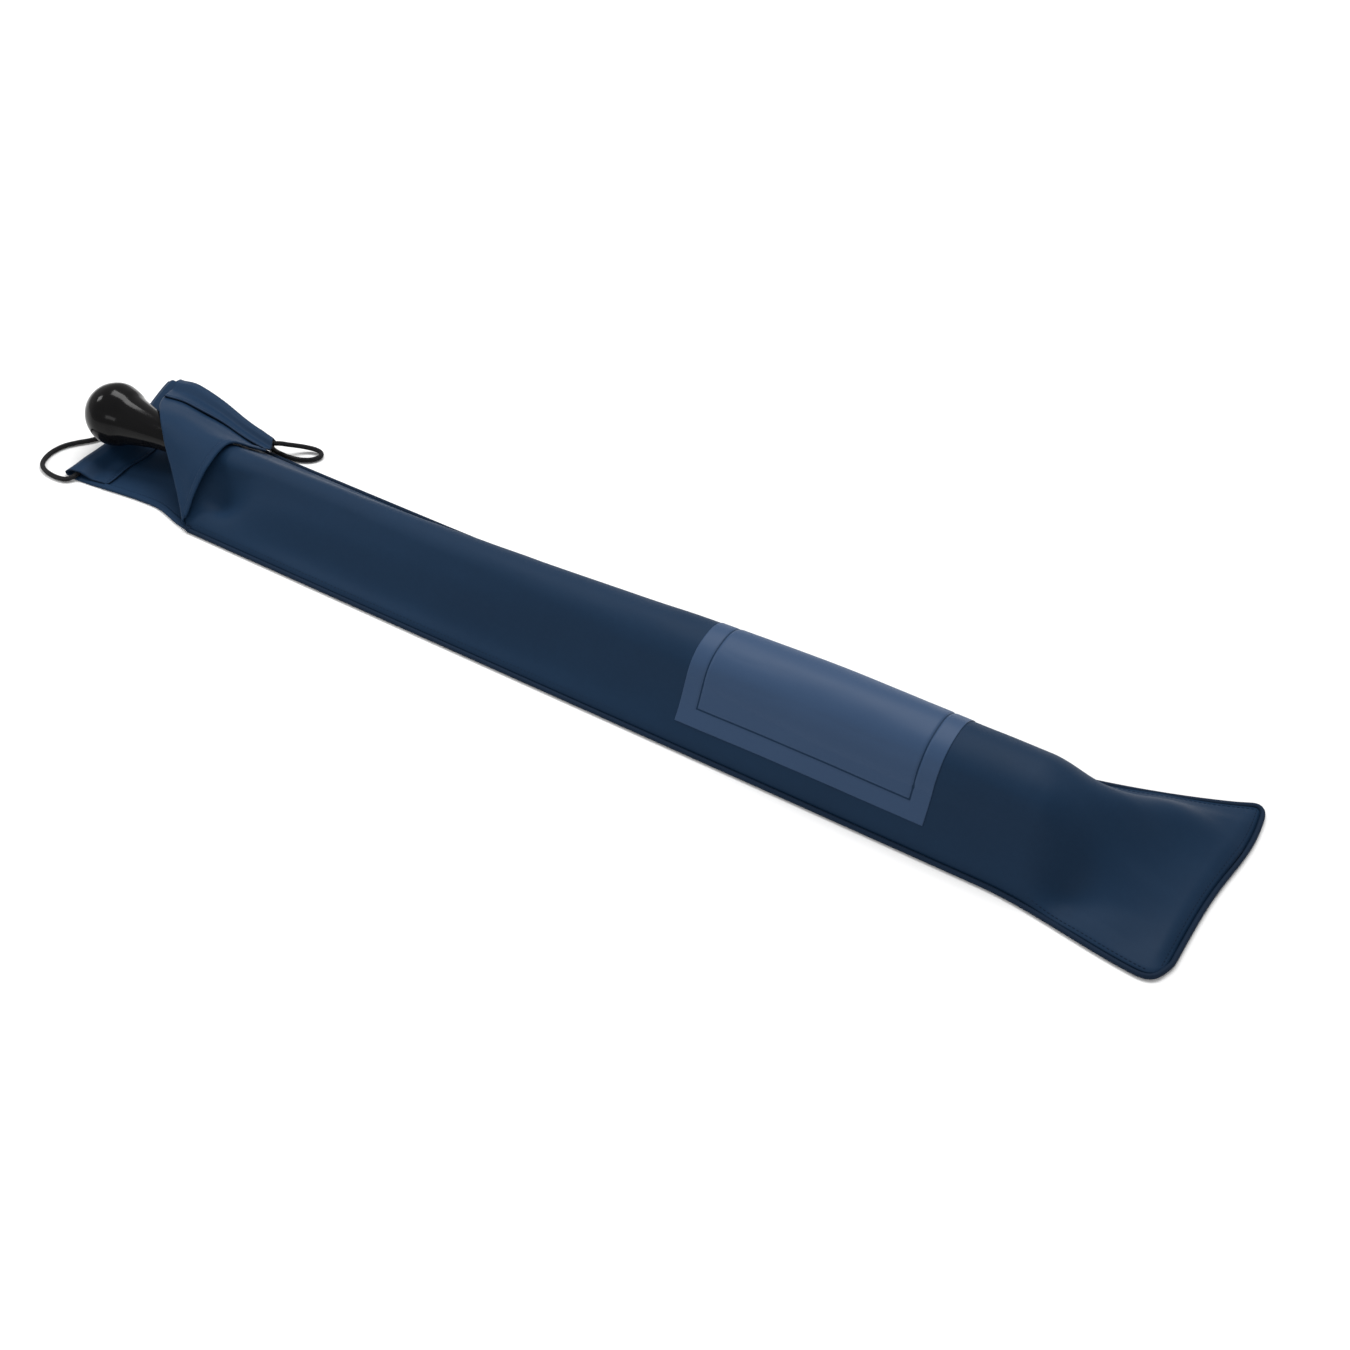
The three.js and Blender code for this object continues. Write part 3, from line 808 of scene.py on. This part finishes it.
class Finish:
    def __init__(self, name):
        self.material = bpy.data.materials.new(name)
        self.material.use_nodes = True
        self.tree = self.material.node_tree
        self.shader = self.tree.nodes["Principled BSDF"]

    def node(self, kind, settings=None, values=None):
        # makes a node, sets it, fills its sockets with values or links, and gives its outputs
        made = self.tree.nodes.new(kind)
        for key, value in (settings or {}).items():
            setattr(made, key, value)
        for key, value in (values or {}).items():
            socket = made.inputs[key]
            if isinstance(value, Value):
                self.tree.links.new(value.socket, socket)
            else:
                socket.default_value = value
        return [Value(self, socket) for socket in made.outputs]

    def shape(self, sockets):
        for name, value in sockets.items():
            if isinstance(value, Value):
                self.tree.links.new(value.socket, self.shader.inputs[name])
            else:
                self.shader.inputs[name].default_value = value
        return self.material

    def mixed(self, factor, first, second):
        made = self.tree.nodes.new("ShaderNodeMix")
        made.data_type = "RGBA"
        colours = [s for s in made.inputs if s.type == "RGBA"]
        for socket, value in zip([made.inputs[0]] + colours, (factor, first, second)):
            if isinstance(value, Value):
                self.tree.links.new(value.socket, socket)
            else:
                socket.default_value = value if isinstance(value, float) else (*value, 1)
        return Value(self, [s for s in made.outputs if s.type == "RGBA"][0])

    def place(self, kind):
        outputs = self.node("ShaderNodeTexCoord")
        return outputs[3] if kind == "object" else outputs[2]

    def parts(self, vector):
        return self.node("ShaderNodeSeparateXYZ", values={0: vector})

    def noise(self, vector, scale, detail=3.0, rough=0.5):
        return self.node("ShaderNodeTexNoise", values={
            "Vector": vector, "Scale": scale, "Detail": detail, "Roughness": rough})[0]

    def bump(self, height, strength, distance):
        return self.node("ShaderNodeBump", values={
            "Height": height, "Strength": strength, "Distance": distance})[0]


def clothFinish(name, look):
    finish = Finish(name)
    cloth2d = finish.parts(finish.place("uv"))
    object3d = finish.place("object")
    turns = 2 * math.pi / look["pitch"]
    knit = (cloth2d[0] * turns).waved() * (cloth2d[1] * turns).waved()
    fibre = finish.noise(finish.place("uv"), 2600.0, 2.0, 0.6)
    patches = finish.noise(object3d, 16.0, 4.0, 0.55)
    lint = finish.noise(object3d, 260.0, 2.0, 0.7)
    shade = patches * 0.7 + lint * 0.3
    colour = finish.mixed(shade, look["dark"], look["light"])
    rough = look["rough"] - 0.06 + patches * 0.12
    height = knit * 0.55 + fibre * 0.45
    return finish.shape({
        "Base Color": colour, "Roughness": rough,
        "Normal": finish.bump(height, look["bump"], look["relief"]),
        "Sheen Weight": look["sheen"], "Sheen Roughness": 0.42,
        "Sheen Tint": (*look["sheenTint"], 1), "Specular IOR Level": look["gloss"],
    })


navyLook = {
    "dark": (0.0050, 0.0185, 0.044), "light": (0.0080, 0.0270, 0.062), "rough": 0.58,
    "pitch": 0.00095, "bump": 0.25, "relief": 0.00012,
    "sheen": 0.012, "sheenTint": (0.15, 0.40, 0.95), "gloss": 0.10,
}
liningLook = dict(navyLook, dark=(0.0054, 0.0205, 0.049), light=(0.0085, 0.0290, 0.068),
                  pitch=0.0012)
printLook = dict(navyLook, dark=(0.0260, 0.0540, 0.1120), light=(0.0310, 0.0630, 0.1280),
                 rough=0.50, bump=0.10, gloss=0.16)
# a darker copy of the navy: painted shade for the shadow gap at the hems' raw edges and for the
# rim curving under along the sewn edge
paintedShadeLook = dict(navyLook, dark=(0.0042, 0.0120, 0.027), light=(0.0075, 0.0195, 0.044), rough=0.72,
                bump=0.5, pitch=0.0015)
threadLook = dict(navyLook, dark=(0.0040, 0.0120, 0.028), light=(0.0070, 0.0190, 0.042), rough=0.6)
navyCloth = clothFinish("navyCloth", navyLook)
liningCloth = clothFinish("liningCloth", liningLook)
printedCloth = clothFinish("printedCloth", printLook)
paintedShadeCloth = clothFinish("paintedShadeCloth", paintedShadeLook)
navyThread = clothFinish("navyThread", threadLook)


def cordFinish():
    finish = Finish("blackCord")
    along = finish.parts(finish.place("uv"))
    lean = along[1] * (2 * math.pi / 0.0034)
    around = along[0] * (2 * math.pi * 4)
    braid = (around + lean).waved() * (around - lean).waved()
    fuzz = finish.noise(finish.place("object"), 1800.0, 2.0, 0.6)
    colour = finish.mixed(fuzz, (0.0035, 0.0036, 0.0045), (0.013, 0.013, 0.015))
    return finish.shape({
        "Base Color": colour, "Roughness": 0.62 + fuzz * 0.2,
        "Normal": finish.bump(braid * 0.7 + fuzz * 0.3, 0.8, 0.0004),
        "Sheen Weight": 0.03, "Sheen Roughness": 0.5, "Specular IOR Level": 0.16,
    })


def lacquerFinish():
    finish = Finish("blackLacquer")
    spots = finish.place("object")
    cloud = finish.noise(spots, 22.0, 3.0, 0.5)
    grain = finish.noise(finish.node("ShaderNodeMapping", values={
        "Vector": spots, "Scale": (6.0, 160.0, 160.0)})[0], 1.0, 4.0, 0.6)
    colour = finish.mixed(grain, (0.0025, 0.0025, 0.0028), (0.0060, 0.0058, 0.0060))
    return finish.shape({
        "Base Color": colour, "Roughness": 0.10 + cloud * 0.10,
        "Normal": finish.bump(grain, 0.04, 0.0002),
        "Coat Weight": 0.06, "Coat Roughness": 0.05, "Specular IOR Level": 0.10,
    })


cordBlack = cordFinish()
blackLacquer = lacquerFinish()
print("finishes mixed")


# stitches: one node tree lays a short thread at every step of a row
def stitchTree():
    tree = bpy.data.node_groups.new("stitches", "GeometryNodeTree")
    face = tree.interface
    face.new_socket("Geometry", in_out="INPUT", socket_type="NodeSocketGeometry")
    sizes = (("Stitch length", 0.0022), ("Gap", 0.0008), ("Thread radius", 0.00022))
    for label, value in sizes:
        socket = face.new_socket(label, in_out="INPUT", socket_type="NodeSocketFloat")
        socket.default_value = value
    face.new_socket("Thread", in_out="INPUT", socket_type="NodeSocketMaterial")
    face.new_socket("Geometry", in_out="OUTPUT", socket_type="NodeSocketGeometry")
    add = tree.nodes.new
    link = tree.links.new
    given, result = add("NodeGroupInput"), add("NodeGroupOutput")
    curve = add("GeometryNodeMeshToCurve")
    link(given.outputs["Geometry"], curve.inputs["Mesh"])
    step = add("ShaderNodeMath")
    link(given.outputs["Stitch length"], step.inputs[0])
    link(given.outputs["Gap"], step.inputs[1])
    even = add("GeometryNodeResampleCurve")
    even.mode = "LENGTH"
    link(curve.outputs["Curve"], even.inputs["Curve"])
    link(step.outputs[0], even.inputs["Length"])
    bead = add("GeometryNodeMeshIcoSphere")
    bead.inputs["Subdivisions"].default_value = 1
    bead.inputs["Radius"].default_value = 1.0
    halfLength = add("ShaderNodeMath")
    halfLength.operation = "MULTIPLY"
    halfLength.inputs[1].default_value = 0.5
    link(given.outputs["Stitch length"], halfLength.inputs[0])
    size = add("ShaderNodeCombineXYZ")
    link(halfLength.outputs[0], size.inputs[0])
    link(given.outputs["Thread radius"], size.inputs[1])
    link(given.outputs["Thread radius"], size.inputs[2])
    tangent = add("GeometryNodeInputTangent")
    turn = add("FunctionNodeAlignRotationToVector")
    turn.axis = "X"
    link(tangent.outputs[0], turn.inputs["Vector"])
    copies = add("GeometryNodeInstanceOnPoints")
    link(even.outputs["Curve"], copies.inputs["Points"])
    link(bead.outputs["Mesh"], copies.inputs["Instance"])
    link(turn.outputs["Rotation"], copies.inputs["Rotation"])
    link(size.outputs[0], copies.inputs["Scale"])
    real = add("GeometryNodeRealizeInstances")
    link(copies.outputs["Instances"], real.inputs["Geometry"])
    smooth = add("GeometryNodeSetShadeSmooth")
    link(real.outputs["Geometry"], smooth.inputs[0])
    paint = add("GeometryNodeSetMaterial")
    link(smooth.outputs[0], paint.inputs["Geometry"])
    link(given.outputs["Thread"], paint.inputs["Material"])
    link(paint.outputs["Geometry"], result.inputs["Geometry"])
    return tree


stitches = stitchTree()


def stitchPiece(name, rows, sizes):
    # rows of points become edges, and the tree lays the threads along them
    vertices, edges = [], []
    for row in rows:
        start = len(vertices)
        vertices += [tuple(p) for p in row]
        edges += [(start + k, start + k + 1) for k in range(len(row) - 1)]
    mesh = bpy.data.meshes.new(name)
    mesh.from_pydata(vertices, edges, [])
    piece = bpy.data.objects.new(name, mesh)
    bpy.context.scene.collection.objects.link(piece)
    modifier = piece.modifiers.new("stitches", "NODES")
    modifier.node_group = stitches
    keys = {s.name: s.identifier for s in stitches.interface.items_tree if s.in_out == "INPUT"}
    for label, value in sizes.items():
        modifier[keys[label]] = value
    modifier[keys["Thread"]] = navyThread
    settle(piece)
    return piece


seamStitch = {"Stitch length": 0.0024, "Gap": 0.0008, "Thread radius": 0.00026}
tackStitch = {"Stitch length": 0.0032, "Gap": -0.0026, "Thread radius": 0.00028}


def seamRow(seamY, side, first, last, count=260):
    row = []
    for i in range(count):
        x = blendTo(first, last, i / (count - 1))
        y = seamY(x) - side * 0.0030
        row.append(shifted(Vector((x, y, frontHeight(x, y, half) + half + 0.0001))))
    return row


def endRow(count=60):
    x = sleeveLength - 0.0032
    first, last = nearSeamY(x) + 0.008, farSeamY(x) - 0.004
    row = []
    for i in range(count):
        y = blendTo(first, last, i / (count - 1))
        row.append(shifted(Vector((x, y, frontHeight(x, y, half) + half + 0.0001))))
    return row


def sheetRow(pointAt, u, start=0.02, stop=0.98, count=90, lift=0.0007):
    return [pointAt(u, blendTo(start, stop, i / (count - 1))) + up * lift for i in range(count)]


sleeveRows = [
    seamRow(nearSeamY, -1, 0.142, sleeveLength - 0.012),
    seamRow(farSeamY, 1, 0.10, sleeveLength - 0.006),
    endRow(), sheetRow(backHemPoint, 0.05), sheetRow(backSlitPoint, 0.12, lift=0.0006),
]
sleeveStitching = stitchPiece("sleeveStitching", sleeveRows, seamStitch)
flapRows = [sheetRow(frontHemPoint, 0.05), sheetRow(frontSlitPoint, 0.12, 0.06, 0.98, lift=0.0006)]
flapStitching = stitchPiece("flapStitching", flapRows, seamStitch)


def tackRows():
    rows = []
    for k in range(4):
        x0 = cloth["slit"] + 0.0012 + k * 0.0016
        row = []
        for i in range(12):
            y = blendTo(nearSeamY(x0) - 0.0042, nearSeamY(x0) + 0.0030, i / 11)
            over = math.sqrt(max(0.0, 1 - ((y - nearSeamY(x0) + 0.0006) / 0.0044) ** 2))
            row.append(shifted(Vector((x0, y, 0.0022 + 0.0021 * over))))
        rows.append(row)
    return rows


barTack = stitchPiece("barTack", tackRows(), tackStitch)
print("stitches sewn")


# what each piece is made of, and for the sleeve's pieces and the bat, which body it moves with
def dress(piece, material):
    # a hem's raw edge keeps the second, darker cloth, painted shade for the shadow gap along that
    # edge
    rims = [face.index for face in piece.data.polygons if face.material_index == 1]
    piece.data.materials.clear()
    piece.data.materials.append(material)
    if rims:
        piece.data.materials.append(paintedShadeCloth)
        for index in rims:
            piece.data.polygons[index].material_index = 1
    return piece


cordOut = Vector((1.0, -0.6, 0)).normalized()
cordEnd = place(0.070, 0, 0.002) + cordOut * (0.028 / math.sqrt(1.36))

# the sewn bead wears the darker cloth: painted shade where the rim curves under along the seam
for piece, material, slot in (
    (frontPanel, navyCloth, "sleeve_cloth"), (backPanel, liningCloth, "sleeve_cloth"),
    (backHem, liningCloth, "lining_cloth"), (backSlitHem, liningCloth, "lining_cloth"),
    (sewnBead, paintedShadeCloth, "seam_thread"), (backRun, cordBlack, "cord"),
    (printPiece, printedCloth, "print"), (sleeveStitching, navyThread, "seam_thread"),
    (barTack, navyThread, "seam_thread"),
):
    settle(piece)
    dress(piece, material)
    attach(piece, "sleeve")

for piece, material, slot in (
    (flapCloth, liningCloth, "lining_cloth"), (frontHem, liningCloth, "lining_cloth"),
    (frontSlitHem, liningCloth, "lining_cloth"), (frontRun, cordBlack, "cord"),
    (flapStitching, navyThread, "seam_thread"),
):
    settle(piece)
    dress(piece, material)
    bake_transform(piece)

dress(drawcord, cordBlack)
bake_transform(drawcord)
dress(batPiece, blackLacquer)
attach(batPiece, "bat")

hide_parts("front_panel")
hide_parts("back_panel")
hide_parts("back_hem")
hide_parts("back_slit_hem")
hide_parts("near_side_seam", "far_side_seam", "closed_end_seam")
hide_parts("drawcord_back_run")
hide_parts("print_panel")
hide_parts("slit_bar_tack")
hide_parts("front_flap", "slit_corner_fold")
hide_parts("front_hem")
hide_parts("front_slit_hem")
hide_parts("drawcord_front_run")
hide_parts("drawcord_slack", "drawcord_loop")
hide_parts("bat")

round(lineLength(cordPoints), 3)
print("pieces joined to their bodies")


# floor and soft studio light
def pale(name, shade):
    finish = Finish(name)
    cloud = finish.noise(finish.place("object"), 3.0, 2.0, 0.5)
    colour = finish.mixed(cloud, (shade,) * 3, (shade * 1.02,) * 3)
    return finish.shape({"Base Color": colour, "Roughness": 0.9, "Specular IOR Level": 0.1})


floorMesh = bpy.data.meshes.new("floor")
floorMesh.from_pydata([(-6, -6, 0), (6, -6, 0), (6, 6, 0), (-6, 6, 0)], [], [(0, 1, 2, 3)])
floor = bpy.data.objects.new("floor", floorMesh)
bpy.context.scene.collection.objects.link(floor)
floor.data.materials.append(pale("paleFloor", 0.86))

bpy.context.scene.view_settings.view_transform = "Standard"
world = bpy.data.worlds.new("studio")
world.use_nodes = True
world.node_tree.nodes["Background"].inputs[0].default_value = (1.0, 1.0, 1.0, 1)
world.node_tree.nodes["Background"].inputs[1].default_value = 0.50
bpy.context.scene.world = world


def softbox(name, at, aim, size, power):
    data = bpy.data.lights.new(name, "AREA")
    data.shape = "RECTANGLE"
    data.size, data.size_y = size
    data.energy = power
    lamp = bpy.data.objects.new(name, data)
    lamp.location = at
    lamp.rotation_euler = (Vector(aim) - Vector(at)).to_track_quat("-Z", "Y").to_euler()
    bpy.context.scene.collection.objects.link(lamp)


softbox("overhead", (-0.2, 0.9, 1.8), (0.0, 0.0, 0.0), (1.8, 0.7), 40)
softbox("mouthSide", (-1.5, -0.3, 1.2), (-0.3, 0.0, 0.0), (0.4, 0.5), 8)
softbox("front", (0.4, -1.8, 0.9), (0.0, 0.0, 0.0), (2.0, 0.4), 8)

print("scene finished")
